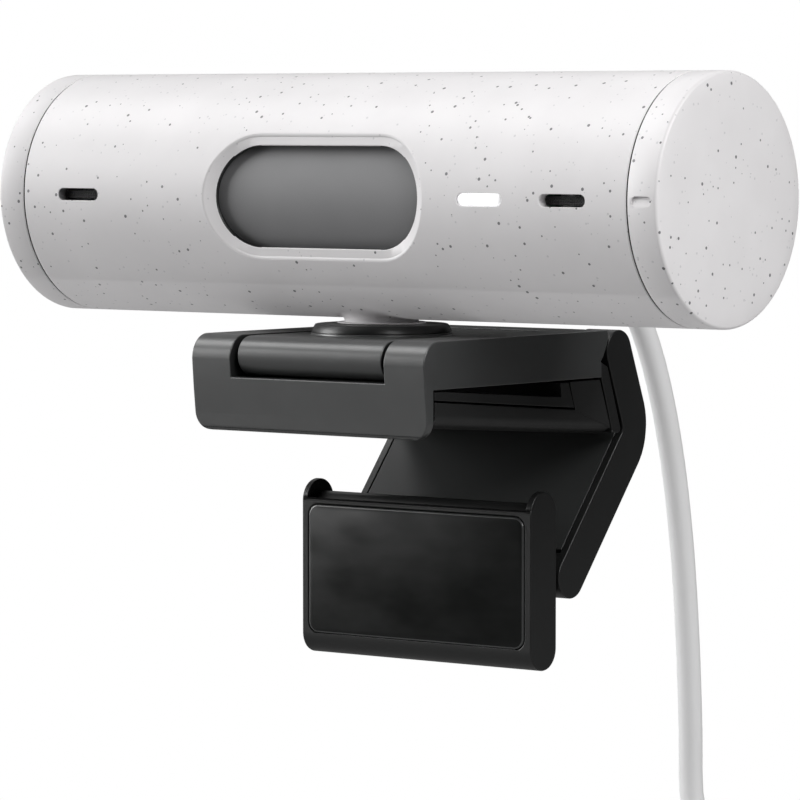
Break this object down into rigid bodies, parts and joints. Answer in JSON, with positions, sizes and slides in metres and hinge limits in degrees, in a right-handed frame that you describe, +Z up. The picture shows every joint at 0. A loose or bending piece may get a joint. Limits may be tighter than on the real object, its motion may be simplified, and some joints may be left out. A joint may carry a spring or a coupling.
{
  "type": "webcam on folding monitor clip",
  "caption": "Cylindrical webcam with a turn-to-close privacy shutter, swivelling and tilting on a folding clip for the top edge of a screen, with its cable.",
  "frame": {"origin": "point on the underside of the clip's rubber wedge straight below the pan axis, where the clip rests on the top edge of a screen", "axes": "+X along the camera tube towards its turning dial, -Y the way the lens looks, +Z up"},
  "size_m": [0.1084, 0.0919, 0.176],
  "materials": {
    "shell": "off-white recycled plastic with fine dark grey specks, satin",
    "shutter": "mid grey, fine matt",
    "graphite": "dark graphite, satin with a very fine grain",
    "panel": "dark graphite, semi-gloss",
    "black": "black, satin",
    "rubber": "soft dark rubber, satin",
    "grip_pad": "near-black tacky film, glossy",
    "steel": "turned steel",
    "brass": "turned brass",
    "board": "green solder mask",
    "socket": "moulded off-white",
    "lens_glass": "coated optical glass, polished",
    "mesh": "fine black woven mesh",
    "light_guide": "milky diffuser, lit white",
    "cord": "light grey cable jacket, satin",
    "tie": "black hook-and-loop strap",
    "plug": "light grey moulded grip, satin"
  },
  "bodies": {
    "clip": {"clip_body": "graphite", "front_hinge_pin": "steel", "wedge_frame": "graphite", "wedge_pad": "rubber", "friction_washer_left": "steel", "friction_washer_right": "steel"},
    "plate": {"top_plate": "graphite", "swivel_disc": "black", "disc_magnet": "steel"},
    "camera": {"tube_shell": "shell", "left_end_cap": "shell", "dial_bearing": "black", "lens_window": "lens_glass", "lens_barrel": "black", "lens_front_element": "lens_glass", "lens_rear_element": "lens_glass", "autofocus_housing": "black", "image_sensor": "black", "sensor_board": "board", "chassis_frame": "black", "main_board": "board", "processor_shield": "steel", "cable_socket": "socket", "mic_mesh_left": "mesh", "mic_mesh_right": "mesh", "mic_capsule_left": "steel", "mic_capsule_right": "steel", "led_light_guide": "light_guide", "led_chip": "socket", "led_board": "board", "board_screw_1": "steel", "board_screw_2": "steel", "board_screw_3": "steel", "board_screw_4": "steel", "thread_insert": "brass", "cord_boot": "cord", "cord_tube": "cord", "cord_coil": "cord", "cord_tie": "tie", "plug_overmould": "plug", "plug_shell": "steel"},
    "shutter": {"shutter_dial": "shell", "shutter_drum": "shutter"},
    "leg": {"leg_frame": "graphite", "leg_panel": "panel", "leg_hinge_pin": "steel", "link_pin": "steel"},
    "link": {"foot_link": "graphite"},
    "foot": {"foot_frame": "graphite", "foot_pad": "grip_pad", "foot_pin": "steel"}
  },
  "joints": [
    {"name": "plate_tilt", "type": "hinge", "parent": "clip", "child": "plate", "pos_m": [0, -0.0129, 0.00935], "axis": [1, 0, 0], "range_deg": [0, 90]},
    {"name": "camera_pan", "type": "hinge", "parent": "plate", "child": "camera", "pos_m": [0, 0, 0.01305], "axis": [0, 0, 1], "range_deg": [-90, 90]},
    {"name": "shutter_turn", "type": "hinge", "parent": "camera", "child": "shutter", "pos_m": [0.04945, 0.001, 0.03005], "axis": [-1, 0, 0], "range_deg": [0, 62]},
    {"name": "leg_fold", "type": "hinge", "parent": "clip", "child": "leg", "pos_m": [0, 0.0271, 0.00925], "axis": [1, 0, 0], "range_deg": [0, 60]},
    {"name": "link_fold", "type": "hinge", "parent": "leg", "child": "link", "pos_m": [0, 0.0162, -0.02015], "axis": [1, 0, 0], "range_deg": [0, 60]},
    {"name": "foot_tilt", "type": "hinge", "parent": "link", "child": "foot", "pos_m": [0, 0.0103, -0.01185], "axis": [1, 0, 0], "range_deg": [-35, 0]}
  ]
}
